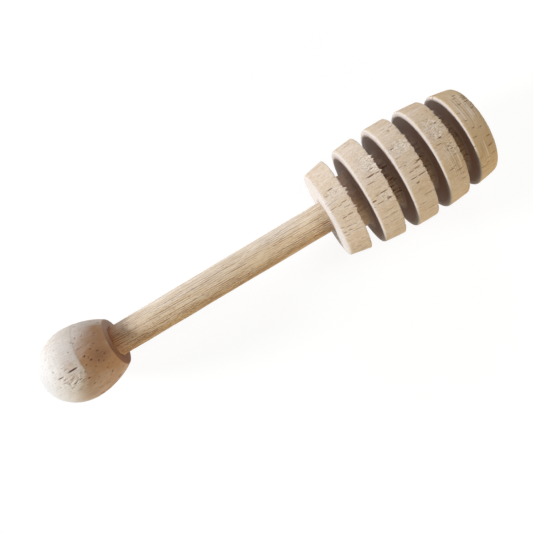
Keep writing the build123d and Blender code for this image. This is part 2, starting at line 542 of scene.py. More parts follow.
# %% Splinters, patches and ring lines
splinters = [
    # disc from 1, degrees round, how far it sticks out, width in degrees
    (1, 15.5, 0.5, 2.0), (1, 11.0, 0.4, 1.8), (1, 3.5, 0.2, 1.5), (1, -6.0, 0.45, 1.3),
    (1, -9.0, 0.35, 1.1), (1, -31.0, 0.2, 1.2), (2, 30.0, 0.35, 1.1), (2, 26.0, 0.3, 1.1),
    (2, 11.5, 0.4, 1.3), (2, -1.0, 0.22, 1.0), (2, 7.0, 0.1, 0.8), (2, 20.0, 0.2, 0.8),
    (3, 14.0, 0.18, 1.0), (3, 30.0, 0.2, 1.0), (3, -14.0, 0.15, 0.9), (4, 40.0, 0.25, 1.2),
    (4, 25.0, 0.2, 1.0), (4, 5.0, 0.15, 0.9),
]
rough_patches = [
    # along, degrees round, half length, half width in degrees
    (46.1, 25, 1.6, 17), (45.9, -13, 1.0, 7), (51.0, 22, 1.6, 9), (56.3, 21, 1.5, 17),
    (57.0, -4, 0.9, 9), (39.9, 20, 1.3, 5), (45.5, 150, 1.6, 20), (50.8, -130, 1.6, 15),
    (57, 170, 1.4, 22), (62, -150, 1.5, 20), (39.8, -160, 1.4, 14),
]
tooled_patches = [
    # along, degrees round, half length, half width in degrees
    (61.9, 28, 1.5, 30), (56.6, -18, 1.2, 20), (61.5, -30, 1.0, 16), (56, 130, 1.5, 30),
    (62, 160, 1.5, 40), (50.8, -150, 1.5, 30),
]
ring_lines = [
    # along, from degrees, to degrees, width: single burrs that the tool's tip left
    (61.9, 8, 50, 0.3), (62.5, 10, 46, 0.3), (56.3, -32, 4, 0.3), (61.6, 120, 170, 0.3),
]
ring_scratches = [(62.7, 12, 46, 0.28), (62.2, 20, 38, 0.26), (61.4, 24, 50, 0.26)]
print("splinters:", len(splinters), "patches:", len(rough_patches) + len(tooled_patches))

# %% [markdown]
# ## From lists to fields
# A patch is an oval on the unrolled surface, and a ring line is a band round the axis that fades
# out at both ends. Both become a field from 0 to 1. Where two of them overlap, the stronger one
# counts, because a sum would dig a hole there.

# %% Patches and ring lines as fields
PLATEAU = 1.6
FADE_DEGREES = 6


def patchwork(points, patches):
    """How far each point is inside the patches, 0 to 1, with soft edges."""
    _, angle = round_axis(points)
    field = np.zeros(len(points))
    for along, degrees, half_length, half_width in patches:
        across = (np.degrees(angle) - degrees + 180) % 360 - 180
        away = ((points[:, 0] - along) / half_length) ** 2 + (across / half_width) ** 2
        field = np.maximum(field, np.clip(PLATEAU - PLATEAU * away, 0, 1))
    return field


def turning_lines(points, lines):
    """How deep each point lies in the tool's ring lines, 0 to 1, fading out at their ends."""
    _, angle = round_axis(points)
    degrees = np.degrees(angle)
    field = np.zeros(len(points))
    for along, first, last, width in lines:
        near = np.clip(1 - (np.abs(points[:, 0] - along) / (width / 2)) ** 2, 0, 1)
        start, end = (degrees - first) / FADE_DEGREES, (last - degrees) / FADE_DEGREES
        fade = np.clip(start, 0, 1) * np.clip(end, 0, 1)
        field = np.maximum(field, near * fade)
    return field


# %% [markdown]
# ## Where the head's points lie
# Each kind of wear belongs to one part of the head: pores and tool rings to the lands, chips to the
# far rims, and stripes to the core. So each point first gets its place. The normals tell end grain,
# which is where the surface faces along the dipper.

# %% Places on the head
LAND_DEPTH = 0.35
CORE_BAND = 0.12


def places(mesh):
    """A mesh's points, and each one's distance from the axis, degrees round it and end grain."""
    points = lathe_points(mesh)
    out, angle = round_axis(points)
    normals = np.empty(len(points) * 3, np.float32)
    mesh.vertices.foreach_get("normal", normals)
    return points, out, np.degrees(angle), np.abs(normals.reshape(-1, 3)[:, 0])


points, out, degrees, end_grain = places(head_mesh)
from_head = points[:, 0] - HANDLE_LENGTH
surface = np.array([barrel(min(max(x, 0), HEAD_LENGTH)) for x in from_head])
on_land = (out > surface - LAND_DEPTH).astype(float)
on_core = (np.abs(out - CORE_RADIUS) < CORE_BAND).astype(float)
land_face = on_land * (1 - end_grain)
torn = patchwork(points, rough_patches) * land_face
past_rim = (from_head - DISC_WIDTH) % DISC_PITCH
in_first_groove = from_head < DISC_PITCH + CLOSE
print("points on the lands:", int(on_land.sum()), "on the core:", int(on_core.sum()))

# %% [markdown]
# ## Unevenness of the head
# No two fibres break alike, so every field is mixed with noise. Noise along the grain comes in
# three sizes for the small relief. Noise of the angle alone stays the same all along one line of
# the grain, which is how a rim chips and how a blunt tool scores the core. It is read on a circle,
# so that it closes without a seam.

# %% Noises for the head
coarse = grain_noise(points, along=1.4, across=0.35, seed=3)
fine = grain_noise(points, along=0.5, across=0.16, seed=9)
grit = grain_noise(points, along=0.2, across=0.14, seed=27)
circle = points / np.maximum(out, CLOSE)[:, None]
circle[:, 0] = 0


def round_noise(scale, shift=(0, 0, 0)):
    """Soft noise from -1 to 1 that changes only with the angle round the axis."""
    return np.array([noise.noise(Vector(p) * scale + Vector(shift)) for p in circle])


broad_chips = round_noise(3.1, (2, 0, 0))
chips = round_noise(15, (7, 0, 0))
small_chips = round_noise(48)
print("noise of the chips from", round(float(chips.min()), 2), "to", round(float(chips.max()), 2))

# %% [markdown]
# ## Breaking the rims
# The discs' far rims are ragged: the fibres broke out in chips, and some stick out as splinters.
# The three noises of the angle are added up for the chips and cut off below, so that sound
# stretches stay between them. The far end of the head was cut with care, so its rim is chipped in
# one stretch alone. A splinter is the reverse of a chip: a narrow tongue that is pushed out.

# %% Chips and splinters
TEAR_REACH = 0.6
CHIP_DEPTH = 0.33
TIP_REACH = 0.16
TIP_FULL = 1.6
SOUND_FOOT = 1
LAST_RIM_SHARE, LAST_RIM_MIDDLE, LAST_RIM_SPREAD = 0.7, 32, 24
ragged = np.clip(0.55 * chips + 0.5 * small_chips + 0.35 * broad_chips - 0.02, 0, 1)
rim_tear = np.zeros(len(points))
push = np.zeros(len(points))
for number in range(DISC_COUNT):
    far = number * DISC_PITCH + DISC_WIDTH
    on_disc = from_head < far + HAIR
    away = np.hypot(far - from_head, barrel(far) - out)
    near_rim = (away < TEAR_REACH) & on_disc & (out > CORE_RADIUS + SOUND_FOOT)
    share = np.where(near_rim, 1 - away / TEAR_REACH, 0)
    bite = ragged * (CHIP_DEPTH * share)
    if number == DISC_COUNT - 1:
        from_middle = (degrees - LAST_RIM_MIDDLE) / LAST_RIM_SPREAD
        bite *= LAST_RIM_SHARE * np.exp(-(from_middle**2))
    push -= bite
    rim_tear = np.maximum(rim_tear, share * np.clip(0.4 + 2 * chips, 0, 1))
    tip = np.where(away < TIP_REACH, 1 - away / TIP_REACH, 0) * on_disc
    for disc, place, length, width in splinters:
        if disc == number + 1:
            narrow = np.clip(1 - np.abs(degrees - place) / width, 0, 1)
            push += length * narrow * np.minimum(TIP_FULL * tip, 1)
points[:, 0] += push
print("deepest chip in mm", round(float(-push.min()), 2))

# %% [markdown]
# ## Relief of the head
# The rest of the wear lies within a quarter of a millimetre: pores, the feed lines of the tool,
# torn patches and burrs on the lands, and stripes on the core, deepest behind each disc, where the
# tool could hardly reach. The skin as a whole goes inwards by more than a burr stands up, so the
# head stays inside its CAD box. The far end gets faint rings where it was faced.

# %% Relief of the head
PORE_DEPTH = 0.09
CORE_PORE_DEPTH = 0.1
CORE_PORE_REACH = 0.3
TOOL_FEED = 0.55
FACING_FEED = 0.9
BURR_HEIGHT = 0.02
pores = marked(points, head_marks, lambda s: barrel(s - HANDLE_LENGTH))
core_pores = marked(points, core_marks, lambda s: CORE_RADIUS, CORE_PORE_REACH)
burrs = turning_lines(points, ring_lines) * land_face
tool_rings = np.sin(from_head * 2 * math.pi / TOOL_FEED + 1.5 * coarse)
stripes = on_core * np.clip(2.4 * round_noise(15, (1, 5, 0)) + 0.2, 0, 1)
stripes = stripes * np.clip(2 - past_rim, 0.3, 1) * np.where(in_first_groove, 0.4, 1)
depth = PORE_DEPTH * pores + CORE_PORE_DEPTH * core_pores
depth += 0.5 * np.clip(-push, 0, 1) * on_land
depth += land_face * (0.02 + 0.006 * coarse + 0.004 * tool_rings + 0.01 * grit)
depth += torn * (0.06 + 0.04 * fine + 0.08 * grit + 0.03 * coarse)
depth -= BURR_HEIGHT * burrs
depth += on_core * (0.04 + 0.02 * coarse + 0.02 * fine) + 0.09 * stripes
inwards(points, depth)
points[:, 0] += on_land * end_grain * 0.01 * fine
on_end = (from_head > HEAD_LENGTH - 2 * HAIR).astype(float)
end_rings = np.sin(out * 2 * math.pi / FACING_FEED + coarse)
points[:, 0] -= on_end * (0.02 + 0.01 * end_rings + 0.008 * fine)
print("deepest place in mm", round(float(depth.max()), 2))

# %% [markdown]
# ## Painted shade in the grooves, and the head's tone
# The grooves are darker inside than the lamps make them, so painted shade is laid into the
# material there, as a brown. It is strongest on the core right behind each disc, and the walls get
# more of it on the side away from the window lamp. Towards the far end the whole wood grows deeper
# in tone, and the far end face shows year rings round the tree's middle, which lies outside the
# dipper.

# %% Painted groove shade and tone of the head
TONE_ALONG_HEAD = ([0, 10, 14, 17, 20, 22, 25.5], [0, 0, 0.12, 0.2, 0.36, 0.6, 0.85])
TREE_MIDDLE = (-9, -17)
YEAR_RING = 1.6
WALL_ABOVE_CORE = 0.3
PAINTED_SHADE_DEPTH = 0.28
FIRST_GROOVE_SHADE, GROOVE_SHADE = 1.02, 1.08
# Painted shade inside the grooves, on the core and on the walls.
in_groove = (from_head > DISC_WIDTH - CLOSE) & (from_head < HEAD_LENGTH - DISC_WIDTH + CLOSE)
above = np.clip(degrees / 50, -1, 1)
core_share = np.clip(0.75 - 0.3 * past_rim, 0.15, 0.75) + 0.12 * above
wall_share = 0.62 - 0.17 * above
painted_groove_shade = in_groove * np.clip((surface - out - PAINTED_SHADE_DEPTH) / 0.3, 0, 1)
painted_groove_shade *= np.where(out > CORE_RADIUS + WALL_ABOVE_CORE, wall_share, core_share)
painted_groove_shade *= np.where(in_first_groove, FIRST_GROOVE_SHADE, GROOVE_SHADE)
from_tree_middle = np.hypot(points[:, 1] - TREE_MIDDLE[0], points[:, 2] - TREE_MIDDLE[1])
year_rings = np.sin(from_tree_middle * 2 * math.pi / YEAR_RING + 0.5 * coarse)
# Deeper tone towards the far end, and year rings on the far end face.
ripe = np.interp(from_head, *TONE_ALONG_HEAD) - on_end * (0.25 - 0.25 * year_rings)
print("strongest stain of the grooves:", round(float(painted_groove_shade.max()), 2))

# %% [markdown]
# ## What the head's material reads
# Six fields go to the material. The dark one, named after the pores, takes the strongest of pores,
# stripes, scratches and the frayed fringe of the rims. The dark of the stripes and of the fringe is
# partly torn fibre and partly painted shade of the torn rims. The torn one shows pale broken
# fibres, on patches, rims, core and burrs. End grain is weaker at the far end, which is smoother
# than the discs' walls.

# %% Store the head's fields
# Frayed fringe of the far rims: partly torn fibre, partly painted shade.
fringe = 0.6 * np.clip((rim_tear - 0.45) * 2, 0, 1) * np.clip(0.5 + 1.5 * small_chips, 0, 1)
scratched = 0.4 * turning_lines(points, ring_scratches) * on_land * np.clip(0.7 + grit, 0, 1)
on_far_rim = from_head > HEAD_LENGTH - FAR_ROUNDING
set_fields(
    head_mesh,
    pores=np.max([pores, core_pores, 0.7 * stripes, fringe, scratched], axis=0),
    tooled=patchwork(points, tooled_patches) * land_face,
    torn=np.clip(torn + 0.35 * rim_tear + 0.3 * on_core + 0.5 * burrs, 0, 1),
    end_grain=np.where(on_far_rim, 0.3 * end_grain, end_grain),
    stained=painted_groove_shade,
    ripe=ripe,
)
settle(head_mesh, points)
print("share of the head in torn grain:", round(float((torn > 0.5).mean()), 3))

# %% [markdown]
# ## Pores of the handle
# The handle is other wood, with far more and much finer pores: short dashes a tenth of a
# millimetre wide. Nobody could place them by hand, so chance deals them all, more densely on the
# shaded side, where the picture shows most of them.

# %% Pores of the handle
dowel_marks = []
for low, high, count in ((-80, -40, 420), (-62, -14, 700), (-14, 40, 260), (75, 298, 500)):
    dowel_marks += dealt_pores(
        count, (0.3, HANDLE_LENGTH - 0.3), (low, high), (0.2, 0.7), (0.08, 0.12), (0.3, 0.8)
    )
print("pores of the handle:", len(dowel_marks))

# %% [markdown]
# ## Drawn lines of the handle
# Dowel stock is pushed through a die, which scores it with fine lines all the way round. They run
# along the dipper with a slight twist, because the stock turned a little on its way, and they come
# and go. A cosine of the angle gives even lines, and noise that is drawn out along the grain makes
# them sway, swell and break up. The slow wander stands for stock that is never quite straight or
# round.

# %% Draw the lines of the handle
DIE_LINES = 50
DIE_TWIST = 0.01
JOINT_FADE = 0.3
points = lathe_points(dowel_mesh)
_, angle = round_axis(points)
degrees = np.degrees(angle)
from_knob, from_far_joint = points[:, 0], HANDLE_LENGTH - points[:, 0]
free = np.clip(from_knob / JOINT_FADE, 0, 1) * np.clip(from_far_joint / JOINT_FADE, 0, 1)
lines = grain_noise(points, along=22.0, across=0.14, seed=21)
strands = grain_noise(points, along=6.0, across=0.1, seed=33)
wander = grain_noise(points, along=4.5, across=3.0, seed=5)
sway = grain_noise(points, along=14.0, across=1.2, seed=51)
swell = grain_noise(points, along=4.0, across=0.5, seed=61)
drawn = np.cos(DIE_LINES * (angle + DIE_TWIST * points[:, 0] + 0.05 * sway)) * (0.8 + 1.2 * swell)
grooves = np.clip(0.9 * drawn + 0.4 * lines + 0.6 * strands, 0, 1)
dashes = marked(points, dowel_marks, lambda s: DOWEL_RADIUS)
inwards(points, free * (0.045 + 0.05 * wander + 0.04 * grooves + 0.06 * dashes))
print("share of the handle in drawn lines:", round(float((grooves > 0.5).mean()), 2))

# %% [markdown]
# ## Colour of the handle
# The lines are dark in their depth and stronger on the shaded side, partly as painted shade. The
# first millimetres out of the knob get the knob's cast shadow as painted shadow, a brown that is
# darkest right at the joint and reaches further on the side away from the window lamp. One side of
# the dowel is painted paler, as painted light, and the others deeper, as painted shade. All of
# these are curves, along the handle or round it, that NumPy's interp reads.

# %% Store the handle's fields
# Painted light and shade round the handle: paler on the side the window lamp lights, deeper on the
# others.
PAINTED_SIDE_LIGHT_DOWEL = (
    [-180, -70, -40, 0, 30, 55, 90, 130, 180],
    [0.3, 0.3, 0.28, 0.2, 0.1, -0.2, -0.3, 0, 0.3],
)
# Painted shadow of the knob on the handle: along it, and round it.
KNOB_SHADOW_ALONG = ([0, 1.5, 2.7, 3.9, 5.5, 8], [0.8, 0.72, 0.38, 0.24, 0.11, 0])
KNOB_SHADOW_ROUND = ([-90, -50, -10], [0.5, 0.7, 1])
# Stronger lines on the shaded side, which is partly painted shade.
below = np.clip((20 - degrees) / 60, 0.3, 1.15)
# Painted shadow in the joint's corner, darkest right at the knob, in two depths.
painted_joint_shadow = 0.9 * np.clip((0.5 - points[:, 0]) / 0.4, 0, 1) * np.clip((degrees + 30) / 40, 0.3, 1)
painted_joint_darkening = 0.36 * np.clip((1.6 - points[:, 0]) / 1.4, 0, 1)
painted_joint_darkening *= np.clip((degrees + 80) / 60, 0.2, 1)
lined = free * np.maximum((0.42 + 0.42 * below) * grooves, 0.85 * dashes)
stretch = 1 + 0.3 * np.clip(-degrees / 60, -0.9, 1)
shaded = np.interp(points[:, 0] / stretch, *KNOB_SHADOW_ALONG) * np.interp(degrees, *KNOB_SHADOW_ROUND)
set_fields(
    dowel_mesh,
    pores=np.maximum(lined, 0.35 * painted_joint_shadow) + painted_joint_darkening,
    torn=0.4 * free * np.clip(0.3 + strands, 0, 1) * below,
    end_grain=0,
    tooled=0,
    ripe=np.interp(degrees, *PAINTED_SIDE_LIGHT_DOWEL),
    stained=np.maximum(shaded, painted_joint_shadow),
)
settle(dowel_mesh, points)
print("darkest place of the handle:", round(float((lined + painted_joint_darkening).max()), 2))

# %% [markdown]
# ## Marks of the knob
# The knob curves across the grain. Near both ends the tool cut its pores across, so they show as
# dots, and in the middle lengthwise, as dashes. Two drying cracks run along the grain, wider than
# any pore, and beside them the tool raised fine slivers. What the picture shows is placed, and
# chance deals the rest.

# %% Marks of the knob
CRACK = 0.28
NARROW_CRACK = 0.18
knob_marks = [
    # along, degrees round, length, width, strength
    (-6.0, -3.6, 1.9, CRACK, 1.0), (-8.2, -5.2, 1.2, NARROW_CRACK, 0.9),
    (-6.8, 2.0, 0.9, PORE, 0.5), (-8.2, -36.3, 1.6, THIN, 0.5), (-7.0, -35.1, 1.0, PORE, 0.5),
    (-3.8, 20, 1.1, PORE, 0.5), (-8.0, -13.9, 1.2, THIN, 0.6), (-6.7, -14.6, 0.8, PORE, 0.6),
    (-3.9, 40, 0.3, PORE, 0.7), (-2.95, 39.2, 0.25, PORE, 0.7), (-1.3, 37.5, 0.25, PORE, 0.7),
    (-1.4, 32.9, 0.25, PORE, 0.6), (-1.8, 18.1, 0.3, PORE, 0.7), (-2.5, 11.4, 0.35, PORE, 0.9),
    (-1.8, 3.5, 0.35, PORE, 0.9), (-1.2, -7.5, 0.25, PORE, 0.7), (-3.6, 5.5, 0.4, WIDE_PORE, 1.0),
    (-3.2, 0.6, 0.3, PORE, 0.6), (-3.1, -4.4, 0.4, WIDE_PORE, 1.0), (-2.3, -12, 0.3, PORE, 0.8),
    (-1.8, -17.5, 0.3, PORE, 0.6), (-4.0, -7.6, 0.3, PORE, 0.8), (-2.0, -32.2, 0.3, PORE, 0.7),
    (-3.1, -17.4, 0.25, PORE, 0.6), (-1.9, -46.4, 0.4, PORE, 0.9), (-1.1, -32.4, 0.25, PORE, 0.5),
    (-0.6, -62, 0.3, PORE, 0.6), (-4.7, -14.9, 0.35, PORE, 0.8), (-4.8, -26.5, 0.6, PORE, 0.9),
    (-3.7, -35.4, 0.4, PORE, 0.6), (-4.8, -39.2, 0.4, PORE, 0.8), (-4.1, -45.5, 0.4, PORE, 0.6),
    (-2.4, -48.5, 0.3, PORE, 0.6), (-3.5, -61.8, 0.3, PORE, 0.6), (-5.8, -21, 0.6, PORE, 0.9),
    (-4.6, 34.4, 0.3, PORE, 0.6), (-4.3, 31.9, 0.3, PORE, 0.6), (-7.5, 37.8, 0.25, PORE, 0.5),
    (-7.2, 25.6, 0.25, THIN, 0.5), (-5.4, 22.1, 0.3, PORE, 0.6), (-9.8, -19.1, 0.3, PORE, 0.5),
    (-10.6, -0.7, 0.3, THIN, 0.5), (-10.2, 28.9, 0.3, THIN, 0.5),
    (-6.8, -22.1, 0.7, NARROW_CRACK, 0.7), (-4.7, -54.9, 0.8, THIN, 0.6),
    (-6.0, -61.1, 1.1, THIN, 0.6), (-3.7, -58.7, 0.6, PORE, 0.5),
]
knob_marks += dealt_pores(60, (-11, -0.4), (-180, 180), (0.2, 0.6), (0.12, 0.18), FAINT)
knob_marks += dealt_pores(70, (-11, -0.4), HIDDEN_SIDE, (0.25, 0.9), (0.16, 0.26), (0.5, 1))
knob_marks += dealt_pores(18, (-8.2, -5.0), (-27, -5), (0.3, 0.9), (0.08, 0.12), (0.3, 0.7))
slivers = dealt_pores(26, (-8.0, -5.4), (-27, -8), (0.5, 1.3), (0.1, 0.17), (0.7, 1))
slivers += dealt_pores(12, (-6.2, -4.4), (-34, -18), (0.3, 0.8), (0.1, 0.17), (0.7, 1))
knob_tooled = [(-9, 10, 3, 60), (-1.6, 44, 1.2, 30), (-9, 160, 3, 70)]
knob_torn = [(-6.9, -14, 1.3, 9), (-5.3, -24, 0.8, 5), (-6.2, 4, 0.9, 6), (-7.4, 150, 1.5, 14)]
print("marks of the knob:", len(knob_marks), "and slivers:", len(slivers))

# %% [markdown]
# ## Relief of the knob
# The cracks and pores are pressed in, and the slivers stand up, by less than a fifth of a
# millimetre. Only the outer skin is moved. The bore and the flat face stay where the CAD has them.

# %% Relief of the knob
SKIN_DEPTH = 0.3
CRACK_DEPTH = 0.14
SLIVER_HEIGHT = 0.07
points, out, degrees, end_grain = places(knob_mesh)
skin = np.array([knob_outline(min(max(-x, 0), KNOB_BACK + KNOB_NOSE)) for x in points[:, 0]])
on_skin = (out > skin - SKIN_DEPTH) & (out > BORE_RADIUS + 2 * CLOSE)
coarse = grain_noise(points, along=1.2, across=0.4, seed=14)
fine = grain_noise(points, along=0.7, across=0.17, seed=17)
torn = patchwork(points, knob_torn) * on_skin
pores = marked(points, knob_marks, lambda s: knob_outline(-s)) * on_skin
raised = marked(points, slivers, lambda s: knob_outline(-s)) * on_skin * (1 - pores)
depth = on_skin * (0.025 + 0.008 * coarse + 0.006 * fine) + CRACK_DEPTH * pores
depth += torn * (0.025 + 0.025 * fine + 0.02 * coarse) - SLIVER_HEIGHT * raised
inwards(points, depth)
print("deepest place in mm", round(float(depth.max()), 2))

# %% [markdown]
# ## The knob's brown back, partly painted shade
# From its flat face to the ridge the knob is brown, and its nose is pale. The brown is partly the
# wood's own and partly painted shade, where the back turns away from the window lamp. The border is
# crisp along the ridge and soft above and below it, and it wanders. So three curves over the angle
# give the border's place, its softness and how brown the back is. Soft spots and two noises break
# it up, as a single even brown would look like paint. The spots, too, are partly painted shade.

# %% Brown and painted shade of the knob
BROWN_DEGREES = [-180, -120, -60, -37, -27, -14, 20, 36, 56, 70, 100, 140, 180]
BROWN_EDGE = [-4.5, -5.5, -8.3, -6.8, -5.6, -4.6, -4.6, -4.0, -2.4, -1.4, -2.0, -3, -4.5]
BROWN_SOFTNESS = [1.2, 1.2, 3.2, 2.6, 1.8, 0.3, 0.8, 2.2, 3.2, 3, 3, 1, 1.2]
BROWN_SHARE = [0.8, 0.8, 0.6, 0.64, 0.68, 0.7, 0.54, 0.54, 0.56, 0.24, 0.4, 0.8, 0.8]
edge = np.interp(degrees, BROWN_DEGREES, BROWN_EDGE)
softness = np.interp(degrees, BROWN_DEGREES, BROWN_SOFTNESS)
most = np.interp(degrees, BROWN_DEGREES, BROWN_SHARE)
behind_edge = points[:, 0] > edge


def spot(along, middle, length, width):
    """1 in the middle of a soft spot on the knob, and less with the distance from it."""
    return np.exp(-(((points[:, 0] - along) / length) ** 2) - ((degrees - middle) / width) ** 2)


brown = np.clip(0.5 + (points[:, 0] - edge) / softness, 0, 1) * most
# A darker middle, partly painted shade.
middle = spot(-2.6, 4, 2.0, 21) * behind_edge
brown += 0.12 * np.clip((points[:, 0] + 7.5) / 3, 0, 1) + 0.5 * middle
# Painted shade high on the back, where the window lamp's light grazes it.
brown += 0.45 * spot(-0.5, 34, 1.2, 24)
clouds = grain_noise(points, along=2.5, across=1.0, seed=41)
threads = grain_noise(points, along=2.0, across=0.25, seed=43)
brown *= 1 + 0.22 * clouds + 0.14 * threads
near_ridge = np.clip((-points[:, 0] - 2.2) / 1.5, 0, 1) * np.clip((degrees + 2) / 12, 0, 1)
brown *= 1 - 0.2 * near_ridge * behind_edge
brown += 0.15 * torn
brown += 0.2 * spot(-6.0, 4, 1.3, 16)
brown += 0.32 * spot(-0.8, -38, 1.6, 26)
print("share of the knob that is brown:", round(float((brown > 0.5).mean()), 2))

# %% [markdown]
# ## What the knob's material reads
# The flat face looks away from the window lamp and gets painted shade: brown all over, a little
# less above, and the dark field takes it down further. The same field paints shade on the brown
# back in one spot. Only the nose counts as end grain, although the flat face looks along the dipper
# too, because that face was cut cleanly.

# %% Store the knob's fields
FLAT_FACE_BAND = 0.12
FLAT_FACE_SHADE = ([-180, -110, -60, -20, 20, 60, 120, 180], [0.9, 1, 1, 1, 0.84, 0.7, 0.6, 0.8])
on_flat = points[:, 0] > -FLAT_FACE_BAND
flat_shade_depth = 0.42 - 0.06 * np.clip(degrees / 60, -1, 1)
painted_flat_shade = flat_shade_depth * (on_flat & (out > BORE_RADIUS + CLOSE / 2))
set_fields(
    knob_mesh,
    torn=np.maximum(0.3 * torn, raised),
    end_grain=end_grain * (points[:, 0] < -KNOB_BACK),
    stained=np.clip(np.where(on_flat, np.interp(degrees, *FLAT_FACE_SHADE), brown), 0, 1),
    # The dark field carries painted shade on the flat face and in one spot of the back.
    pores=np.maximum(pores, painted_flat_shade) + 0.32 * spot(-1.6, -7, 1.5, 15) * on_skin,
    tooled=0.1 * patchwork(points, knob_tooled) * on_skin,
    ripe=0,
)
settle(knob_mesh, points)
print("points of the flat face:", int(on_flat.sum()))

# %% [markdown]
# ## Sums with shader sockets
# A procedural wood is mostly arithmetic on patterns. This class wraps an output socket, so that
# the sums can be written as Python writes them, and each operator adds its Math node. Colours go
# through Mix nodes, because a Math node would turn them grey. Every other node comes from the one
# method, which sets the node's settings first and its sockets after.

# %% A socket that takes part in sums
class Wire:
    """An output socket of a shader node, with Python's operators."""

    def __init__(self, socket):
        self.socket = socket

    def node(self, kind, settings=None, sockets=None, output=0):
        """Adds a node of this kind to the same tree and gives one of its outputs."""
        tree = self.socket.id_data
        made = tree.nodes.new("ShaderNode" + kind)
        for name, value in (settings or {}).items():
            setattr(made, name, value)
        for name, value in (sockets or {}).items():
            if isinstance(value, Wire):
                tree.links.new(value.socket, made.inputs[name])
            else:
                made.inputs[name].default_value = value
        return Wire(made.outputs[output])

    def math(self, operation, first, second=0.0):
        """One Math node on sockets or plain numbers."""
        return self.node("Math", {"operation": operation}, {0: first, 1: second})

    def __add__(self, other):
        return self.math("ADD", self, other)

    def __radd__(self, other):
        return self.math("ADD", other, self)

    def __sub__(self, other):
        return self.math("SUBTRACT", self, other)

    def __rsub__(self, other):
        return self.math("SUBTRACT", other, self)

    def __mul__(self, other):
        return self.math("MULTIPLY", self, other)

    def __rmul__(self, other):
        return self.math("MULTIPLY", other, self)

    def clipped(self, start, full):
        """0 at the start, 1 where it's full, a straight line between them and clipped beyond."""
        return self.node("MapRange", {"clamp": True}, {0: self, 1: start, 2: full})

    def stretched(self, *scale):
        """A vector with its parts multiplied by these three numbers."""
        return self.node("VectorMath", {"operation": "MULTIPLY"}, {0: self, 1: scale})

    def blended(self, other, share, way="MIX"):
        """This colour going over to another by a share, or multiplied by it."""
        sockets = {0: share, 6: self, 7: other}
        return self.node("Mix", {"data_type": "RGBA", "blend_type": way}, sockets, output=2)


print("operators of a wire:", [name for name in vars(Wire) if name.startswith("__r")])

# %% [markdown]
# ## Patterns in bare wood
# A photograph of wood could be wrapped round the pieces, but it would stretch, and show a seam.
# So the wood is made of noises, laid out in millimetres on the lathe's axes, which a Mapping node
# gives from the Object coordinates. The grain runs along X, and where that coordinate is shrunk
# before a noise reads it, the noise is drawn out into grain: slow bands, then streaks, then fine
# fibres. With the other two shrunk instead, it becomes tool rings. The pores, the torn places, the
# brown that is mostly painted shade, and the tone with its painted side light come from the fields
# on the meshes.

# %% Patterns in bare wood
def wood_patterns(start, shred):
    """The noises and the mesh's fields that a bare wood is mixed from."""
    lathe = {"Location": flat_face_centre, "Rotation": (0, -LEAN, 0), "Scale": (MM, MM, MM)}
    on_lathe = start.node("Mapping", {"vector_type": "TEXTURE"}, {"Vector": start, **lathe})

    def pattern(scale, detail, along=1, across=1, roughness=0.5):
        stretched = on_lathe.stretched(along, across, across)
        sockets = {"Vector": stretched, "Scale": scale, "Detail": detail, "Roughness": roughness}
        return start.node("TexNoise", None, sockets)

    wood = SimpleNamespace(
        band=pattern(0.28, 2, along=0.05),
        streak=pattern(1.3, 3, along=0.07),
        fibre=pattern(6.0, 2, along=0.12),
        speckle=pattern(5.0, 3, along=shred, roughness=0.7),
        grit=pattern(8.0, 2, along=0.4, roughness=0.6),
        ring=pattern(3.2, 2, across=0.03),
        tool_line=pattern(8.0, 1, across=0.02),
    )
    for field in ("pores", "torn", "end_grain", "stained", "tooled", "ripe"):
        settings = {"attribute_name": field}
        setattr(wood, field, start.node("Attribute", settings, None, output="Fac"))
    return wood


# %% [markdown]
# ## Colour of bare wood
# The colour is laid on like thin coats. The first goes from pale to deep wood by a tone of bands
# and fine grit, shifted by the tone field, which on the handle is painted side light. Each further
# one goes over to one more colour where its share is: dark fibres, tool rings, end grain, torn
# fibres with pale broken ends, and fine lines where the tool rubbed. The brown, mostly painted
# shade, multiplies instead, so that the grain stays visible in it. The pores come last, on top,
# and their dark field carries painted shade at the knob's flat face and the handle's joint.

# %% Colour of bare wood
def wood_colour(wood, look):
    """The colour of a bare wood, mixed from its patterns and its own look."""
    tone = (0.45 * wood.band + 0.4 * wood.streak + 0.15 * wood.fibre).clipped(0.36, 0.64)
    tone = tone * look.streaks + (1 - look.streaks) * wood.grit.clipped(0.36, 0.66) + wood.ripe
    start = {0: tone, 6: look.pale, 7: look.deep}
    colour = wood.band.node("Mix", {"data_type": "RGBA"}, start, output=2)
    coats = (
        (look.pore, look.lines * wood.fibre.clipped(0.52, 0.75)),
        (look.deep, look.rings * wood.ring.clipped(0.5, 0.72)),
        (look.end, wood.end_grain.clipped(0.25, 0.85) * 0.9),
        (look.pore, wood.end_grain.clipped(0.2, 0.3) * wood.fibre.clipped(0.6, 0.68) * 0.2),
        (look.pore, wood.torn * wood.speckle.clipped(0.53, 0.64) * 0.35),
        (look.fresh, wood.torn * wood.speckle.clipped(0.49, 0.4) * 0.7),
        (look.fresh, wood.tooled * wood.tool_line.clipped(0.54, 0.62) * 0.5),
        (look.pore, wood.tooled * wood.tool_line.clipped(0.46, 0.4) * 0.3),
    )
    for paint, share in coats:
        colour = colour.blended(paint, share)
    # The brown, mostly painted shade, multiplies the colour.
    colour = colour.blended(look.stain, wood.stained, "MULTIPLY")
    return colour.blended(look.pore, wood.pores.clipped(0.06, 0.7) * 0.88)


# %% [markdown]
# ## The finish of bare wood
# The three pieces differ in colour and in how open their grain is, but all are bare wood, so one
# function makes all three finishes. Raw wood is dull: its roughness is high and hardly changes,
# and its mirror shine is weak. A little bump adds what is finer than the mesh.

# %% Finish of bare wood
RELIEF_DEPTH = 0.08
DULLNESS = 0.62
SHINE = 0.3


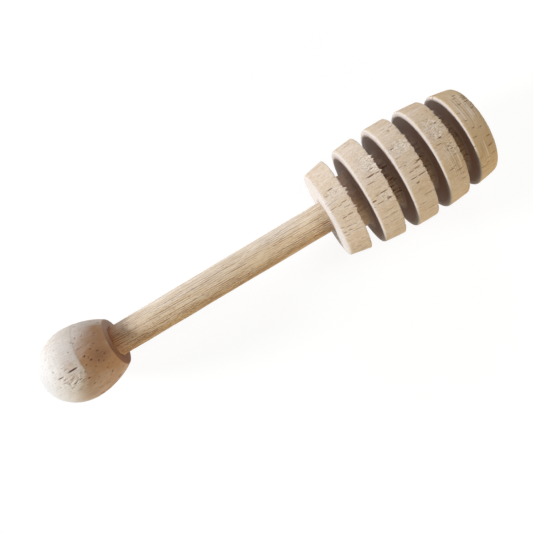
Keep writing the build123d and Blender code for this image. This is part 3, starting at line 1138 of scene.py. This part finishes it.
def bare_wood(name, **values):
    """A bare wood: its colours, how strong its patterns are and how long its torn shreds."""
    look = SimpleNamespace(**values)
    material = bpy.data.materials.new(name)
    material.use_nodes = True
    tree = material.node_tree
    shader = tree.nodes["Principled BSDF"]
    start = Wire(tree.nodes.new("ShaderNodeTexCoord").outputs["Object"])
    wood = wood_patterns(start, look.shred)
    height = 0.25 * wood.fibre + 0.4 * wood.grit + 0.8 * wood.torn * wood.speckle
    height = height - 0.4 * wood.pores + 0.15 * look.rings * wood.ring
    height = height + 0.7 * wood.tooled * wood.tool_line
    bump = {"Strength": look.bump, "Distance": RELIEF_DEPTH * MM, "Height": height}
    relief = start.node("Bump", None, bump)
    rough = DULLNESS + 0.12 * wood.speckle
    tree.links.new(wood_colour(wood, look).socket, shader.inputs["Base Color"])
    tree.links.new(rough.socket, shader.inputs["Roughness"])
    tree.links.new(relief.socket, shader.inputs["Normal"])
    shader.inputs["Specular IOR Level"].default_value = SHINE
    return material


def seen_colour(red, green, blue):
    """A colour given as the eye sees it on a screen, from 0 to 255, as light."""
    parts = [value / 255 for value in (red, green, blue)]
    parts = [p / 12.92 if p < 0.04045 else ((p + 0.055) / 1.055) ** 2.4 for p in parts]
    return (*parts, 1.0)


# %% [markdown]
# ## The wood of each piece
# Head and knob are one kind of pale, close wood. The dowel is yellower, with more streaks. Each
# finish names its pale and deep tone, the colour of its pores, of freshly broken fibres and of end
# grain, and the brown that it is multiplied by, which is mostly painted shade. The rest are
# strengths from 0 to 1. The shred is the length of torn fibres: the smaller, the longer.

# %% Finishes of the three pieces
head_wood = bare_wood(
    "head_wood",
    pale=seen_colour(227, 213, 203),
    deep=seen_colour(200, 172, 136),
    pore=seen_colour(104, 60, 30),
    fresh=seen_colour(240, 230, 216),
    end=seen_colour(204, 194, 187),
    # brown of the painted shade in the grooves
    stain=(0.53, 0.34, 0.26, 1),
    streaks=0.5,
    lines=0.2,
    rings=0.2,
    bump=0.6,
    shred=0.6,
)
dowel_wood = bare_wood(
    "dowel_wood",
    pale=seen_colour(234, 224, 212),
    deep=seen_colour(213, 184, 145),
    pore=seen_colour(127, 72, 32),
    fresh=seen_colour(236, 224, 206),
    end=seen_colour(226, 206, 176),
    # brown of the knob's painted shadow on the handle
    stain=(0.59, 0.37, 0.23, 1),
    streaks=0.7,
    lines=0.2,
    rings=0.0,
    bump=0.6,
    shred=0.6,
)
knob_wood = bare_wood(
    "knob_wood",
    pale=seen_colour(225, 217, 211),
    deep=seen_colour(206, 193, 180),
    pore=seen_colour(84, 32, 24),
    fresh=seen_colour(245, 236, 229),
    end=seen_colour(202, 198, 196),
    # brown of the knob's back and flat face, partly its own and partly painted shade
    stain=(0.62, 0.38, 0.22, 1),
    streaks=0.5,
    lines=0.15,
    rings=0.1,
    bump=0.5,
    shred=0.25,
)
print("finishes", [m.name for m in (head_wood, dowel_wood, knob_wood)])

# %% [markdown]
# ## Put the pieces in the scene
# Each piece sits at the origin with its place in its mesh, rides on the one body that the dipper
# has, and stands for the CAD node of the same name.

# %% Pieces
for piece_mesh, node_name, slot_name, finish in (
    (head_mesh, "dipper_head", "head_wood", head_wood),
    (dowel_mesh, "handle_dowel", "dowel_wood", dowel_wood),
    (knob_mesh, "end_knob", "knob_wood", knob_wood),
):
    piece = bpy.data.objects.new(piece_mesh.name, piece_mesh)
    bpy.context.scene.collection.objects.link(piece)
    piece_mesh.materials.append(finish)
    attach(piece, "root")
    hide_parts(node_name)
    print(piece.name, "triangles", sum(len(p.vertices) - 2 for p in piece_mesh.polygons))

# %% [markdown]
# ## The table
# The picture is cut out on white. More light would bleach the wood, so the floor glows instead,
# and for the camera alone: it is nearly as bright as white paper, and its small share of ordinary
# matt white keeps the dipper's soft shadow. Away from the dipper the glow takes over altogether,
# so that the floor goes over into the white background without an edge.

# %% Floor
FLOOR_HALF_SIDE = 1.5
PAPER_SHARE = 0.84
PAPER_GLOW = 1.07
SHADOW_REACH = 0.12
MATT_WHITE = (0.85, 0.84, 0.82, 1)
WHITE = (1, 1, 1, 1)
bm = bmesh.new()
bmesh.ops.create_grid(bm, x_segments=1, y_segments=1, size=FLOOR_HALF_SIDE)
floor_mesh = bpy.data.meshes.new("floor")
bm.to_mesh(floor_mesh)
bm.free()
floor = bpy.data.objects.new("floor", floor_mesh)
bpy.context.scene.collection.objects.link(floor)


def bright_to_the_eye(path):
    """1 for rays from the camera, and for those that mirrors and glass pass on."""
    seen = Wire(path.outputs["Is Camera Ray"])
    seen = seen.math("MAXIMUM", seen, Wire(path.outputs["Is Glossy Ray"]))
    return seen.math("MAXIMUM", seen, Wire(path.outputs["Is Transmission Ray"]))


paper = bpy.data.materials.new("pale_floor")
paper.use_nodes = True
nodes = paper.node_tree.nodes
nodes.clear()
eye = bright_to_the_eye(nodes.new("ShaderNodeLightPath"))
matt = eye.node("BsdfDiffuse", None, {"Color": MATT_WHITE})
glow = eye.node("Emission", None, {"Color": WHITE, "Strength": PAPER_GLOW})
spread = eye.node("TexCoord", None, None, output="Object")
away = spread.node("VectorMath", {"operation": "LENGTH"}, {0: spread}, output="Value")
glow_share = PAPER_SHARE + (1 - PAPER_SHARE) * away.clipped(SHADOW_REACH, 3 * SHADOW_REACH)
mixed = eye.node("MixShader", None, {0: glow_share * eye, 1: matt, 2: glow})
sheet_out = nodes.new("ShaderNodeOutputMaterial")
paper.node_tree.links.new(mixed.socket, sheet_out.inputs["Surface"])
floor_mesh.materials.append(paper)
print("floor material nodes:", len(nodes))

# %% [markdown]
# ## The sky
# The sky is white to the camera too. To the wood it is only a weak, warm fill, because a bright
# sky from all sides would wash out the relief.

# %% Sky
SKY_COLOUR = (1.0, 0.94, 0.85, 1)
SKY_STRENGTH = 0.036
world = bpy.data.worlds.new("sky")
bpy.context.scene.world = world
world.use_nodes = True
nodes = world.node_tree.nodes
nodes.clear()
eye = bright_to_the_eye(nodes.new("ShaderNodeLightPath"))
fill = eye.node("Background", None, {"Color": SKY_COLOUR, "Strength": SKY_STRENGTH})
white = eye.node("Background", None, {"Color": WHITE, "Strength": 1.0})
mixed = eye.node("MixShader", None, {0: eye, 1: fill, 2: white})
world_out = nodes.new("ShaderNodeOutputWorld")
world.node_tree.links.new(mixed.socket, world_out.inputs["Surface"])
print("sky strength", SKY_STRENGTH)

# %% [markdown]
# ## The lamps
# One strong, fairly small lamp stands low beyond the knob, as a window would. Its direction was
# fitted to the shadows in the grooves. Three broad, weak lamps fill those shadows, tilted towards
# the head's side: a cool one and a warm one from the two long sides, and a plain one from above.
# Broad lamps throw hardly any shadow of their own, so only the window's is seen.

# %% Lamps
LAMP_DISTANCE = 0.6
FULL_POWER = 4.26
LAMPS = (
    # name, direction on the lathe's axes, colour, width, height, share of full power
    ("window_lamp", (-0.90, 0.28, 0.335), (0.94, 1.0, 1.05), 0.14, 0.08, 1.08),
    ("far_side_fill", (0.28, 0.87, 0.40), (0.96, 1.0, 1.06), 0.30, 0.30, 0.25),
    ("near_side_fill", (0.28, -0.90, 0.34), (1.15, 1.0, 0.66), 0.30, 0.30, 0.36),
    ("top_fill", (0.5, 0, 0.87), (1.0, 1.0, 1.0), 0.30, 0.30, 0.19),
)
for lamp_name, direction, lamp_colour, width, height, power in LAMPS:
    lamp_data = bpy.data.lights.new(lamp_name, "AREA")
    lamp_data.shape = "ELLIPSE"
    lamp_data.size = width
    lamp_data.size_y = height
    lamp_data.energy = power * FULL_POWER
    lamp_data.color = lamp_colour
    lamp = bpy.data.objects.new(lamp_name, lamp_data)
    bpy.context.scene.collection.objects.link(lamp)
    towards_lamp = Matrix.Rotation(-LEAN, 3, "Y") @ Vector(direction)
    lamp.rotation_euler = towards_lamp.to_track_quat("Z", "Y").to_euler()
    lamp.location = towards_lamp * LAMP_DISTANCE
    print(lamp_name, "watts", round(lamp_data.energy, 2))

bpy.context.scene.view_settings.view_transform = "Standard"

# %% [markdown]
# ## Sizes and finish
# The dressed model has to stay inside the CAD model's box.
